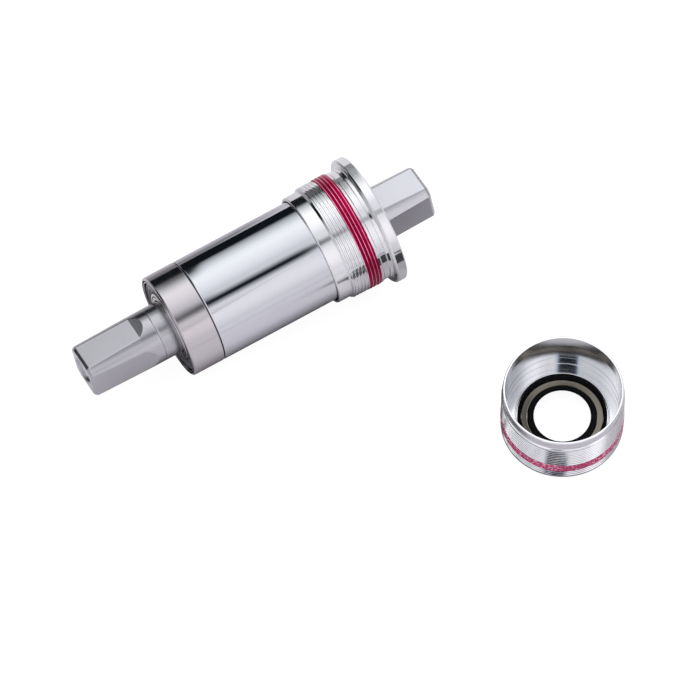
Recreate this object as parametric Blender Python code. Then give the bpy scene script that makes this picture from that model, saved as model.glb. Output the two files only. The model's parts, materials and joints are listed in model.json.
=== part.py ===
"""Square-taper cartridge bottom bracket with a loose left-hand cup.

The cartridge (spindle, two sealed ball bearings, plain sleeve and the fixed
drive-side cup) lies on its side on a flat surface, resting on the rim of the
cup's flange and on the left bearing ring.  The loose left cup stands beside it
with its open end up.

World frame: metres, +Z up, the resting surface is Z = 0, +X runs along the
spindle towards the drive side, origin in the middle of the footprint.

All turned pieces of the cartridge are described by their distance "s" along
the spindle (millimetres, from the inboard face of the flange, positive
towards the left, non-drive end) and their radius "r".
"""
import math

import bmesh
import bpy
from mathutils import Matrix, Vector

MM = 0.001

# ----------------------------------------------------------------------------
# Driving dimensions, millimetres
# ----------------------------------------------------------------------------
SPINDLE_LEFT_TIP = 91.1        # s of the left end face
SPINDLE_RIGHT_TIP = -19.4      # s of the right end face (110.5 overall)
SPINDLE_R = 8.0                # round part of the spindle
SPINDLE_MID_R = 8.8            # thicker middle, its shoulders locate the races
TAPER_HALF_TIP = 6.35          # half across the flats at the tip (JIS square)
TAPER_ANGLE = math.radians(2.0)
TAPER_LENGTH = 17.6            # flats, tip to start of the run-out
RUNOUT_LENGTH = 2.1
TAPER_CORNER_TIP = 7.7         # radius over the rounded corners at the tip
TIP_CHAMFER = 0.8
BOLT_HOLE_R = 3.8              # M8 crank bolt thread
BOLT_HOLE_DEPTH = 22.0
SPINDLE_ROLL = math.radians(12.0)  # flats turned from the horizontal

RING_R = 15.5                  # bearing ring and sleeve, outside
RING_LEFT = 63.8               # s of the left bearing ring's outer face
RING_WIDTH = 9.6               # the part of each ring at full diameter
SPIGOT_R, SPIGOT_LENGTH = 14.4, 2.4
RING_EDGE = 0.4                # chamfer of the rings' outer edge

PITCH_R = 11.8                 # ball circle
BALL_R = 1.984                 # 5/32 inch balls
BALL_COUNT = 9
GROOVE_R = 2.235
OUTER_RACE_R, INNER_RACE_R = 13.15, 10.45
SEAL_RECESS_R = 13.9
RACE_BORE_R = 8.3
LEFT_PLANE = 59.0              # s of the left bearing's ball plane
RIGHT_PLANE = 10.1             # s of the right bearing's ball plane

SLEEVE_BORE_R = 13.4
SLEEVE_COUNTERBORE_R = 14.7

THREAD_R = 17.4                # BC 1.37 inch x 24 tpi, 34.8 mm over the crests
THREAD_ROOT_R = 16.7
CUP_LIP_R = 16.65
CUP_BORE_R = 15.8
FLANGE_R, FLANGE_THICK, FLANGE_EDGE = 19.5, 3.2, 0.4
CUP_LIP_END = 17.5             # s of the fixed cup's inner end
THREAD_END = 13.4
BAND_S0, BAND_S1 = 4.1, 7.8    # thread-lock band on the fixed cup
BAND_R = 17.5
SOCKET_R, SOCKET_NOTCH_R, SOCKET_NOTCHES = 14.0, 15.4, 20
SOCKET_NOTCH_WIDTH = 2.2

LEFT_CUP_HEIGHT = 20.5
LEFT_BORE_R = 16.2             # straight bore, slides over the left ring
LEFT_FLOOR_Z = 5.3             # floor of the bore, above the outer face
LEFT_BAND_Z0, LEFT_BAND_Z1 = 3.9, 7.9

GAP = 0.3                      # clearance between neighbouring pieces

SEG_CUP = 60                   # sides of the cups and their bands
SEG_SLEEVE = 48
SEG_RACE = 32
SEG_SEAL = 28

# ----------------------------------------------------------------------------
# Layout
# ----------------------------------------------------------------------------
# The cartridge touches the surface at the flange rim and at the edge of the
# left ring, so its axis falls towards the left end.
CONTACT_RING_S = RING_LEFT - RING_EDGE
CONTACT_FLANGE_S = -FLANGE_EDGE
TILT = math.asin((FLANGE_R - RING_R) / (CONTACT_RING_S - CONTACT_FLANGE_S))
AXIS_HEIGHT = FLANGE_R * math.cos(TILT) + CONTACT_FLANGE_S * math.sin(TILT)
CARTRIDGE_X, CARTRIDGE_Y = 25.9, 36.3
LEFT_CUP_X, LEFT_CUP_Y = 47.9, -38.3


def clear_scene():
    for ob in list(bpy.data.objects):
        bpy.data.objects.remove(ob, do_unlink=True)


def material(name, colour, roughness, metallic):
    mat = bpy.data.materials.get(name) or bpy.data.materials.new(name)
    mat.use_nodes = True
    bsdf = mat.node_tree.nodes["Principled BSDF"]
    bsdf.inputs["Base Color"].default_value = (*colour, 1.0)
    bsdf.inputs["Roughness"].default_value = roughness
    bsdf.inputs["Metallic"].default_value = metallic
    mat.diffuse_color = (*colour, 1.0)
    return mat


def empty(name, location, rotation=(0.0, 0.0, 0.0), parent=None):
    ob = bpy.data.objects.new(name, None)
    ob.empty_display_size = 0.01
    bpy.context.scene.collection.objects.link(ob)
    ob.parent = parent
    ob.location = location
    ob.rotation_euler = rotation
    return ob


def link_mesh(name, bm, mat, parent, smooth=True):
    bmesh.ops.recalc_face_normals(bm, faces=bm.faces[:])
    mesh = bpy.data.meshes.new(name)
    bm.to_mesh(mesh)
    bm.free()
    mesh.materials.append(mat)
    ob = bpy.data.objects.new(name, mesh)
    bpy.context.scene.collection.objects.link(ob)
    ob.parent = parent
    if smooth:
        mesh.shade_smooth()
        mesh.set_sharp_from_angle(angle=math.radians(30))
    return ob


def turned(name, profile, mat, parent, segments, axis="X"):
    """Turn a closed outline of (distance, radius) points about an axis.

    axis "X": distance s runs along local -X.  axis "Z": distance runs up Z.
    """
    bm = bmesh.new()
    pts = []
    for s, r in profile:
        if axis == "X":
            pts.append(bm.verts.new((-s * MM, 0.0, r * MM)))
        else:
            pts.append(bm.verts.new((r * MM, 0.0, s * MM)))
    edges = [bm.edges.new((pts[i], pts[(i + 1) % len(pts)]))
             for i in range(len(pts))]
    spin_axis = (1.0, 0.0, 0.0) if axis == "X" else (0.0, 0.0, 1.0)
    bmesh.ops.spin(bm, geom=pts + edges, cent=(0.0, 0.0, 0.0), axis=spin_axis,
                   angle=2.0 * math.pi, steps=segments, use_merge=False,
                   use_duplicate=False)
    bmesh.ops.remove_doubles(bm, verts=bm.verts[:], dist=1.0e-6)
    return link_mesh(name, bm, mat, parent)


def ring_profile(s0, s1, r0, r1):
    return [(s0, r0), (s1, r0), (s1, r1), (s0, r1)]


def cut(target, cutter):
    cutter.hide_render = True
    cutter.display_type = "WIRE"
    mod = target.modifiers.new("cut_" + cutter.name, "BOOLEAN")
    mod.operation = "DIFFERENCE"
    mod.solver = "EXACT"
    mod.object = cutter


# ----------------------------------------------------------------------------
# Spindle
# ----------------------------------------------------------------------------
PER_FLAT, PER_CORNER = 5, 5     # steps across a flat and round a corner


def round_loop(s, r):
    """A circle whose points keep step with the points of a square section."""
    loop = []
    step = math.radians(90.0) / (PER_FLAT + PER_CORNER)
    for q in range(4):
        start = math.radians(90.0) * q - step * PER_FLAT / 2.0
        for j in range(PER_FLAT + PER_CORNER):
            a = start + step * j
            loop.append((s, r * math.cos(a), r * math.sin(a)))
    return loop


def square_loop(s, half, corner):
    """A square with rounded corners, half across the flats, corner radius."""
    loop = []
    phi = math.acos(half / corner)
    w = corner * math.sin(phi)
    for q in range(4):
        turn = math.radians(90.0) * q
        for j in range(PER_FLAT + 1):
            y = -w + 2.0 * w * j / PER_FLAT
            loop.append((s, half * math.cos(turn) - y * math.sin(turn),
                         half * math.sin(turn) + y * math.cos(turn)))
        for j in range(1, PER_CORNER):
            a = turn + phi + (math.radians(90.0) - 2.0 * phi) * j / PER_CORNER
            loop.append((s, corner * math.cos(a), corner * math.sin(a)))
    return loop


def make_spindle(mat, parent):
    end_half = TAPER_HALF_TIP + TAPER_LENGTH * math.tan(TAPER_ANGLE)
    chamfer_half = TAPER_HALF_TIP + TIP_CHAMFER * math.tan(TAPER_ANGLE)
    corner_slope = (SPINDLE_R - TAPER_CORNER_TIP) / TAPER_LENGTH
    chamfer_corner = TAPER_CORNER_TIP + TIP_CHAMFER * corner_slope

    def end_loops(tip, inward):
        """Loops from the bottom of the bolt hole to the end of the run-out."""
        hole_end = tip + inward * BOLT_HOLE_DEPTH
        return [
            round_loop(hole_end, BOLT_HOLE_R),
            round_loop(tip + inward * 1.0, BOLT_HOLE_R),
            round_loop(tip, BOLT_HOLE_R + 0.7),
            square_loop(tip, TAPER_HALF_TIP - 0.55, TAPER_CORNER_TIP - 0.8),
            square_loop(tip + inward * TIP_CHAMFER, chamfer_half,
                        chamfer_corner),
            square_loop(tip + inward * TAPER_LENGTH, end_half, SPINDLE_R),
            round_loop(tip + inward * (TAPER_LENGTH + RUNOUT_LENGTH),
                       SPINDLE_R),
        ]

    left = end_loops(SPINDLE_LEFT_TIP, -1.0)
    right = end_loops(SPINDLE_RIGHT_TIP, 1.0)
    shoulder_l = LEFT_PLANE - 4.3 - GAP
    shoulder_r = RIGHT_PLANE + 4.3 + GAP
    middle = [
        round_loop(shoulder_l, SPINDLE_R),
        round_loop(shoulder_l, SPINDLE_MID_R),
        round_loop(shoulder_r, SPINDLE_MID_R),
        round_loop(shoulder_r, SPINDLE_R),
    ]
    loops = left + middle + right[::-1]
    bm = bmesh.new()
    rows = []
    for loop in loops:
        rows.append([bm.verts.new((-s * MM, y * MM, z * MM))
                     for s, y, z in loop])
    for a, b in zip(rows[:-1], rows[1:]):
        n = len(a)
        for i in range(n):
            bm.faces.new((a[i], a[(i + 1) % n], b[(i + 1) % n], b[i]))
    # drill-point ends of the two bolt holes
    for row, s_tip in ((rows[0], SPINDLE_LEFT_TIP - BOLT_HOLE_DEPTH - 2.0),
                       (rows[-1], SPINDLE_RIGHT_TIP + BOLT_HOLE_DEPTH + 2.0)):
        apex = bm.verts.new((-s_tip * MM, 0.0, 0.0))
        n = len(row)
        for i in range(n):
            bm.faces.new((row[i], row[(i + 1) % n], apex))
    return link_mesh("spindle", bm, mat, parent)


# ----------------------------------------------------------------------------
# Bearings.  "c" is the distance outboard from the ball plane.
# ----------------------------------------------------------------------------
def groove(side):
    """Points of the ball groove, from the outboard to the inboard shoulder.

    side +1: cut outwards into the outer race, -1: inwards into the inner race
    """
    shoulder = (OUTER_RACE_R - PITCH_R) if side > 0 else (PITCH_R - INNER_RACE_R)
    half = math.sqrt(GROOVE_R ** 2 - shoulder ** 2)
    pts = []
    for k in (1.0, 0.62, 0.0, -0.62, -1.0):
        c = half * k
        pts.append((c, PITCH_R + side * math.sqrt(GROOVE_R ** 2 - c * c)))
    return pts


def make_bearing(side_name, plane, direction, mats, still, turning, cage_axis):
    """direction +1: outboard is towards +s (left), -1: towards -s (right)."""
    def to_s(profile):
        return [(plane + direction * c, r) for c, r in profile]

    half = RING_WIDTH / 2.0
    outer = [(-half - SPIGOT_LENGTH, SPIGOT_R), (-half, SPIGOT_R),
             (-half, RING_R), (half - RING_EDGE, RING_R),
             (half, RING_R - RING_EDGE), (half, SEAL_RECESS_R),
             (3.4, SEAL_RECESS_R), (3.4, OUTER_RACE_R)]
    outer += groove(1)
    outer += [(-3.4, OUTER_RACE_R), (-3.4, SEAL_RECESS_R),
              (-4.6, SEAL_RECESS_R), (-4.6, OUTER_RACE_R + 0.15),
              (-half - SPIGOT_LENGTH, OUTER_RACE_R + 0.15)]
    turned(side_name + "_bearing_outer_race", to_s(outer), mats["race"],
           still, SEG_RACE)

    inner = [(-4.3, RACE_BORE_R), (4.5, RACE_BORE_R), (4.5, INNER_RACE_R)]
    inner += groove(-1)
    inner += [(-4.3, INNER_RACE_R)]
    turned(side_name + "_bearing_inner_race", to_s(inner), mats["race"],
           turning, SEG_RACE)

    for label, c0, c1 in (("outboard", 3.7, 4.3), ("inboard", -4.3, -3.7)):
        turned("%s_bearing_%s_seal" % (side_name, label),
               to_s(ring_profile(c0, c1, INNER_RACE_R + GAP,
                                 SEAL_RECESS_R - GAP)),
               mats["seal"], still, SEG_SEAL)

    # crown cage: a ring beside the balls with fingers reaching between them
    cage = turned(side_name + "_bearing_cage",
                  to_s(ring_profile(-1.4, 3.05, 11.0, 12.6)), mats["cage"],
                  cage_axis, SEG_RACE)
    bm = bmesh.new()
    for i in range(BALL_COUNT):
        a = 2.0 * math.pi * i / BALL_COUNT
        m = (Matrix.Rotation(a, 4, "X")
             @ Matrix.Translation((-plane * MM, 0.0, PITCH_R * MM)))
        bmesh.ops.create_cone(bm, cap_ends=True, segments=12,
                              radius1=2.28 * MM, radius2=2.28 * MM,
                              depth=3.2 * MM, matrix=m)
    cutter = link_mesh(side_name + "_cage_pocket_cutter", bm, mats["cage"],
                       cage_axis, smooth=False)
    cut(cage, cutter)

    for i in range(BALL_COUNT):
        a = 2.0 * math.pi * i / BALL_COUNT
        bm = bmesh.new()
        bmesh.ops.create_icosphere(bm, subdivisions=2, radius=BALL_R * MM)
        ball = link_mesh("%s_bearing_ball_%d" % (side_name, i + 1), bm,
                         mats["ball"], cage_axis)
        ball.location = (-plane * MM, -PITCH_R * math.sin(a) * MM,
                         PITCH_R * math.cos(a) * MM)
        ball.data.shade_smooth()


# ----------------------------------------------------------------------------
# Tool socket: 20 notches round a cup's outer bore
# ----------------------------------------------------------------------------
def notch_cutter(name, d0, d1, mat, parent, axis):
    """Twenty blocks between distances d0 and d1 along the cup's axis."""
    bm = bmesh.new()
    mid = (d0 + d1) / 2.0
    r_mid = (SOCKET_R - 1.6 + SOCKET_NOTCH_R) / 2.0
    size = Vector((SOCKET_NOTCH_R - SOCKET_R + 1.6, SOCKET_NOTCH_WIDTH,
                   abs(d1 - d0)))
    for i in range(SOCKET_NOTCHES):
        a = 2.0 * math.pi * (i + 0.5) / SOCKET_NOTCHES
        if axis == "Z":
            frame = Matrix.Rotation(a, 4, "Z")
        else:
            # local Z of the block becomes -X, its radial X becomes Z
            frame = (Matrix.Rotation(a, 4, "X")
                     @ Matrix(((0, 0, -1, 0), (0, 1, 0, 0), (1, 0, 0, 0),
                               (0, 0, 0, 1))))
        place = (frame @ Matrix.Translation((r_mid * MM, 0.0, mid * MM))
                 @ Matrix.Diagonal((*(size * MM), 1.0)))
        bmesh.ops.create_cube(bm, size=1.0, matrix=place)
    return link_mesh(name, bm, mat, parent, smooth=False)


def make_drive_cup(mats, parent):
    bearing_face = RIGHT_PLANE - RING_WIDTH / 2.0      # outboard, s = 5.3
    seat = bearing_face - GAP
    recess = seat - 1.3
    web = recess - 1.4
    g0, g1 = BAND_S0 - GAP, BAND_S1 + GAP
    profile = [
        (CUP_LIP_END, CUP_BORE_R), (CUP_LIP_END, CUP_LIP_R - 0.3),
        (CUP_LIP_END - 0.3, CUP_LIP_R), (THREAD_END, CUP_LIP_R),
        (THREAD_END - 0.4, THREAD_R), (g1, THREAD_R), (g1, THREAD_ROOT_R),
        (g0, THREAD_ROOT_R), (g0, THREAD_R - 0.3), (0.0, THREAD_R - 0.3),
        (0.0, FLANGE_R - FLANGE_EDGE), (-FLANGE_EDGE, FLANGE_R),
        (-FLANGE_THICK + FLANGE_EDGE, FLANGE_R),
        (-FLANGE_THICK, FLANGE_R - FLANGE_EDGE),
        (-FLANGE_THICK, SOCKET_R + 0.4), (-FLANGE_THICK + 0.4, SOCKET_R),
        (web, SOCKET_R), (web, 9.4), (recess, 9.4), (recess, 13.0),
        (seat, 13.0), (seat, CUP_BORE_R)]
    cup = turned("drive_cup", profile, mats["cup"], parent, SEG_CUP)
    cut(cup, notch_cutter("drive_cup_notch_cutter", -FLANGE_THICK - 1.0,
                          web - 0.5, mats["cup"], parent, "X"))
    turned("drive_cup_thread_lock_band",
           ring_profile(BAND_S0, BAND_S1, THREAD_ROOT_R + GAP, BAND_R),
           mats["band"], parent, SEG_CUP)
    base = recess + GAP
    turned("drive_cup_seal_rubber", ring_profile(base, base + 0.9, 11.8, 12.7),
           mats["rubber"], parent, SEG_SEAL)
    turned("drive_cup_seal_case", ring_profile(base, base + 0.8, 9.95, 11.5),
           mats["seal_case"], parent, SEG_SEAL)
    turned("drive_cup_seal_lip", ring_profile(base, base + 0.9, 8.3, 9.65),
           mats["rubber"], parent, SEG_SEAL)


def make_left_cup(mats, parent):
    h = LEFT_CUP_HEIGHT
    g0, g1 = LEFT_BAND_Z0 - GAP, LEFT_BAND_Z1 + GAP
    profile = [
        (0.0, SOCKET_R + 0.4), (0.0, THREAD_ROOT_R), (0.7, THREAD_R),
        (g0, THREAD_R), (g0, THREAD_ROOT_R), (g1, THREAD_ROOT_R),
        (g1, THREAD_R), (h - 3.6, THREAD_R), (h - 3.4, 17.05),
        (h - 0.4, 17.05), (h, 16.75), (h, 16.4), (h - 0.2, LEFT_BORE_R),
        (LEFT_FLOOR_Z, LEFT_BORE_R), (LEFT_FLOOR_Z, 13.0),
        (3.4, 13.0), (3.4, 9.4), (2.4, 9.4), (2.4, SOCKET_R),
        (0.4, SOCKET_R)]
    cup = turned("left_cup", profile, mats["cup"], parent, SEG_CUP, axis="Z")
    cut(cup, notch_cutter("left_cup_notch_cutter", -1.0, 2.0, mats["cup"],
                          parent, "Z"))
    turned("left_cup_thread_lock_band",
           ring_profile(LEFT_BAND_Z0, LEFT_BAND_Z1, THREAD_ROOT_R + GAP,
                        BAND_R), mats["band"], parent, SEG_CUP, axis="Z")
    turned("left_cup_seal_rubber", ring_profile(3.7, 5.2, 11.8, 12.7),
           mats["rubber"], parent, SEG_SEAL, axis="Z")
    turned("left_cup_seal_case", ring_profile(3.7, 4.2, 9.95, 11.5),
           mats["seal_case"], parent, SEG_SEAL, axis="Z")
    turned("left_cup_seal_lip", ring_profile(3.7, 4.5, 8.05, 9.65),
           mats["rubber"], parent, SEG_SEAL, axis="Z")


def main():
    clear_scene()
    mats = {
        "spindle": material("spindle_steel", (0.52, 0.53, 0.56), 0.45, 1.0),
        "sleeve": material("polished_steel", (0.80, 0.81, 0.83), 0.12, 1.0),
        "race": material("ground_bearing_steel", (0.62, 0.58, 0.57), 0.32, 1.0),
        "ball": material("ball_steel", (0.80, 0.80, 0.80), 0.08, 1.0),
        "cage": material("nylon_cage", (0.62, 0.55, 0.38), 0.55, 0.0),
        "seal": material("seal_grey", (0.25, 0.25, 0.26), 0.5, 0.0),
        "cup": material("plated_cup", (0.78, 0.79, 0.80), 0.22, 1.0),
        "band": material("thread_lock_red", (0.50, 0.03, 0.10), 0.35, 0.0),
        "rubber": material("seal_rubber_black", (0.02, 0.02, 0.02), 0.5, 0.0),
        "seal_case": material("seal_case_metal", (0.45, 0.37, 0.22), 0.35, 1.0),
    }

    # Local +X of the cartridge points along the spindle to the drive side;
    # turning by -TILT about Y lifts that end.
    axis = empty("cartridge_axis",
                 (CARTRIDGE_X * MM, CARTRIDGE_Y * MM, AXIS_HEIGHT * MM),
                 (0.0, -TILT, 0.0))
    spin = empty("spindle_axis", (0.0, 0.0, 0.0), parent=axis)
    roll = empty("spindle_roll", (0.0, 0.0, 0.0),
                 (-SPINDLE_ROLL, 0.0, 0.0), parent=spin)
    left_cage_axis = empty("left_cage_axis", (0.0, 0.0, 0.0), parent=axis)
    right_cage_axis = empty("right_cage_axis", (0.0, 0.0, 0.0), parent=axis)
    left_cup_place = empty("left_cup_place",
                           (LEFT_CUP_X * MM, LEFT_CUP_Y * MM, 0.0))

    make_spindle(mats["spindle"], roll)
    make_bearing("left", LEFT_PLANE, 1.0, mats, axis, spin, left_cage_axis)
    make_bearing("right", RIGHT_PLANE, -1.0, mats, axis, spin,
                 right_cage_axis)

    sleeve_l = RING_LEFT - RING_WIDTH - GAP
    sleeve_r = RIGHT_PLANE + RING_WIDTH / 2.0 + GAP
    deep = SPIGOT_LENGTH
    turned("cartridge_sleeve",
           [(sleeve_r, RING_R), (sleeve_l, RING_R),
            (sleeve_l, SLEEVE_COUNTERBORE_R),
            (sleeve_l - deep, SLEEVE_COUNTERBORE_R),
            (sleeve_l - deep, SLEEVE_BORE_R), (sleeve_r + deep, SLEEVE_BORE_R),
            (sleeve_r + deep, SLEEVE_COUNTERBORE_R),
            (sleeve_r, SLEEVE_COUNTERBORE_R)],
           mats["sleeve"], axis, SEG_SLEEVE)
    make_drive_cup(mats, axis)
    make_left_cup(mats, left_cup_place)


main()
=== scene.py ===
import json
import math

import bpy
import numpy as np
from mathutils import Matrix, Vector


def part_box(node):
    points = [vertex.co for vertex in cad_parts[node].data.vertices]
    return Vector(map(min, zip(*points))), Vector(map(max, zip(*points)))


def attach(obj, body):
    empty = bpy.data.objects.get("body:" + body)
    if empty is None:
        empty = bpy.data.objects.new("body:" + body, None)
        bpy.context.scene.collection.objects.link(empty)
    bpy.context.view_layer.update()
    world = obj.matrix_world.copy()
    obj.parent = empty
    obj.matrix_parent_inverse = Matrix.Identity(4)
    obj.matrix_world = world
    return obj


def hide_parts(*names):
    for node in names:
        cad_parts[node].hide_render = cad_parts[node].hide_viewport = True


# Looks for the square-taper cartridge bottom bracket and its loose left cup.
#
# Every piece is turned or lofted in mesh code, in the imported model's own frame:
# the cartridge's pieces in millimetres along its axis ("s", from the flange's
# inboard face towards the left, non-drive end), the loose cup's pieces upwards
# from the surface it stands on.

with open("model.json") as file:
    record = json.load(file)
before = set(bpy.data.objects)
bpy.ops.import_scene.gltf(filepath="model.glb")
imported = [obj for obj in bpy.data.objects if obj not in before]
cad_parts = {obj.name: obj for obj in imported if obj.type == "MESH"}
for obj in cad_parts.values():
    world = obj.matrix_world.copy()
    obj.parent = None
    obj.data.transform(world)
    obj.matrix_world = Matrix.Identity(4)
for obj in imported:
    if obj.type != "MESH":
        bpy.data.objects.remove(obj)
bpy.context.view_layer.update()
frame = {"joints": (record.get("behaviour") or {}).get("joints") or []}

MM = 0.001
TAU = 2.0 * math.pi

# ---------------------------------------------------------------------------
# Places, all read from the frame
# ---------------------------------------------------------------------------
JOINTS = {j["name"]: j for j in frame["joints"]}
SPIN = JOINTS["spindle_spin"]
AXIS = Vector(SPIN["axis"]).normalized()          # towards the drive side
ORIGIN = Vector(SPIN["pos_m"]) + AXIS * 30.0 * MM  # s = 0, on the axis
CART = (Matrix.Translation(ORIGIN)
        @ Matrix.Rotation(-math.asin(AXIS.z), 4, "Y"))
_lo, _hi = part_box("left_cup")
CUP = Matrix.Translation(((_lo.x + _hi.x) / 2, (_lo.y + _hi.y) / 2, _lo.z))

PITCH = 25.4 / 24.0            # 24 threads per inch
THREAD_R = 17.4
THREAD_DEPTH = 0.32


# ---------------------------------------------------------------------------
# Mesh helpers
# ---------------------------------------------------------------------------
def outline(points, tight=0.07, segs=4):
    """Rounds the corners of a closed outline.

    points are (a, r, fillet).  Each rounded corner becomes a small arc, with a
    point close to it on either side, so that smooth shading keeps long faces
    flat.  fillet 0 keeps the corner sharp, with the two guard points.
    """
    out = []
    count = len(points)
    for i in range(count):
        p = np.array(points[i][:2], float)
        f = points[i][2] if len(points[i]) > 2 else 0.0
        a = np.array(points[i - 1][:2], float) - p
        b = np.array(points[(i + 1) % count][:2], float) - p
        la, lb = np.hypot(*a), np.hypot(*b)
        a, b = a / la, b / lb
        cosang = float(np.clip(np.dot(a, b), -1.0, 1.0))
        inner = math.acos(cosang)                 # angle between the edges
        if f > 0.0 and inner < math.pi - 0.02:
            d = min(f / math.tan(inner / 2.0), 0.46 * la, 0.46 * lb)
            radius = d * math.tan(inner / 2.0)
            bis = (a + b) / np.hypot(*(a + b))
            c = p + bis * (radius / math.sin(inner / 2.0))
            t0, t1 = p + a * d, p + b * d
            arc = []
            v0, v1 = t0 - c, t1 - c
            ang0 = math.atan2(v0[1], v0[0])
            sweep = math.atan2(v0[0] * v1[1] - v0[1] * v1[0], np.dot(v0, v1))
            for k in range(segs + 1):
                g = ang0 + sweep * k / segs
                arc.append(c + radius * np.array((math.cos(g), math.sin(g))))
            if la - d > 3.0 * tight:
                out.append(p + a * (d + tight))
            out.extend(arc)
            if lb - d > 3.0 * tight:
                out.append(p + b * (d + tight))
        else:
            if la > 3.0 * tight:
                out.append(p + a * tight)
            out.append(p)
            if lb > 3.0 * tight:
                out.append(p + b * tight)
    return np.array(out)


def refine(points, lo, hi, radius, step):
    """Cuts the outline's edges between lo and hi, at that radius or beyond."""
    out = []
    count = len(points)
    for i in range(count):
        p, q = points[i], points[(i + 1) % count]
        out.append(p)
        if min(p[1], q[1]) < radius:
            continue
        a0, a1 = p[0], q[0]
        if max(a0, a1) < lo or min(a0, a1) > hi:
            continue
        n = int(math.ceil(abs(a1 - a0) / step))
        for k in range(1, n):
            out.append(p + (q - p) * (k / n))
    return np.array(out)


def even(n):
    return np.arange(n) * TAU / n


NOTCHES = 20


def notch_angles():
    """Angles round a cup with the edges of its 20 tool notches among them."""
    period = 360.0 / NOTCHES
    inside = [-4.45, -4.12, -2.8, -1.4, 0.0, 1.4, 2.8, 4.12, 4.45]
    rest = [5.9, 7.45, 9.0, 10.55, 12.1]
    angles = sorted((k * period + d) % 360.0
                    for k in range(NOTCHES) for d in inside + rest)
    return np.radians(np.array(angles))


def in_notch(theta):
    """1 inside a tool notch, 0 between them."""
    period = TAU / NOTCHES
    d = np.abs((theta + period / 2) % period - period / 2)
    return np.clip((math.radians(4.46) - d) / math.radians(0.33), 0.0, 1.0)


def finish_mesh(name, verts, faces, matrix, sharp=32.0):
    me = bpy.data.meshes.new(name)
    me.from_pydata([], [], [])
    me.vertices.add(len(verts))
    me.vertices.foreach_set("co", np.asarray(verts, np.float32).ravel() * MM)
    sizes = np.array([len(f) for f in faces], np.int32)
    loops = np.concatenate([np.asarray(f, np.int32) for f in faces])
    me.loops.add(len(loops))
    me.loops.foreach_set("vertex_index", loops)
    me.polygons.add(len(faces))
    starts = np.concatenate(([0], np.cumsum(sizes)[:-1])).astype(np.int32)
    me.polygons.foreach_set("loop_start", starts)
    me.update(calc_edges=True)
    me.validate()
    me.shade_smooth()
    if sharp:
        me.set_sharp_from_angle(angle=math.radians(sharp))
    ob = bpy.data.objects.new(name, me)
    bpy.context.scene.collection.objects.link(ob)
    ob.matrix_world = matrix
    return ob


def volume(verts, faces):
    v = np.asarray(verts, float)
    total = 0.0
    for f in faces[:: max(1, len(faces) // 20000)]:
        for k in range(1, len(f) - 1):
            total += float(np.dot(v[f[0]], np.cross(v[f[k]], v[f[k + 1]])))
    return total


def grid_faces(m, n):
    """Quads of a closed outline of m points swept through n closed steps."""
    i, j = np.meshgrid(np.arange(m), np.arange(n), indexing="ij")
    i2, j2 = (i + 1) % m, (j + 1) % n
    quads = np.stack([i * n + j, i2 * n + j, i2 * n + j2, i * n + j2], -1)
    return quads.reshape(-1, 4)


def lathe(name, prof, matrix, theta=None, shape=None, upright=False,
          sharp=32.0):
    """Turns a closed outline (a, r) about the axis.

    shape(a, r, theta) returns new (a, r), for threads and notches.
    """
    theta = even(224) if theta is None else theta
    a = np.repeat(prof[:, 0][:, None], len(theta), 1)
    r = np.repeat(prof[:, 1][:, None], len(theta), 1)
    t = np.repeat(theta[None, :], len(prof), 0)
    if shape is not None:
        a, r = shape(a, r, t)
    if upright:
        verts = np.stack([r * np.cos(t), r * np.sin(t), a], -1)
    else:
        verts = np.stack([-a, r * np.cos(t), r * np.sin(t)], -1)
    verts = verts.reshape(-1, 3)
    faces = grid_faces(len(prof), len(theta))
    # outward normals: the outline's own turning sense decides
    x, y = prof[:, 0], prof[:, 1]
    area = float(np.sum(x * np.roll(y, -1) - np.roll(x, -1) * y))
    if (area > 0) == (not upright):
        faces = faces[:, ::-1]
    return finish_mesh(name, verts, faces, matrix, sharp)


def hash_noise(x, y, seed):
    """Smooth repeatable noise on a grid that wraps every 64 cells in x."""
    rng = np.random.default_rng(seed)
    table = rng.random((64, 64))
    xi, yi = np.floor(x).astype(int), np.floor(y).astype(int)
    fx, fy = x - xi, y - yi
    fx, fy = fx * fx * (3 - 2 * fx), fy * fy * (3 - 2 * fy)
    g = lambda i, j: table[i % 64, j % 64]
    return ((g(xi, yi) * (1 - fx) + g(xi + 1, yi) * fx) * (1 - fy)
            + (g(xi, yi + 1) * (1 - fx) + g(xi + 1, yi + 1) * fx) * fy)


def thread_drop(a, theta, start, turns, hand, depth=THREAD_DEPTH,
                fade_in=0.22, fade_out=0.35):
    """How far the thread's groove lies under its crest.

    The groove's first turn starts at a = start and winds towards smaller a;
    it fades in and out along the helix, as a cut thread does.
    """
    u = (start - a) / PITCH - hand * theta / TAU
    k = np.round(u)
    along = k + hand * theta / TAU
    if hand < 0:
        along = along + 1.0
    x = np.abs(u - k) * 2.0                     # 0 in the root, 1 on the crest
    v = np.clip((x - 0.34) / 0.30, 0.0, 1.0)
    v = v * v * (3 - 2 * v) * 0.45 + v * 0.55   # straight flanks, soft ends
    env = (np.clip(along / fade_in, 0, 1)
           * np.clip((turns - along) / fade_out, 0, 1))
    env = env * env * (3 - 2 * env)
    return depth * (1.0 - v) * env


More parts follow.
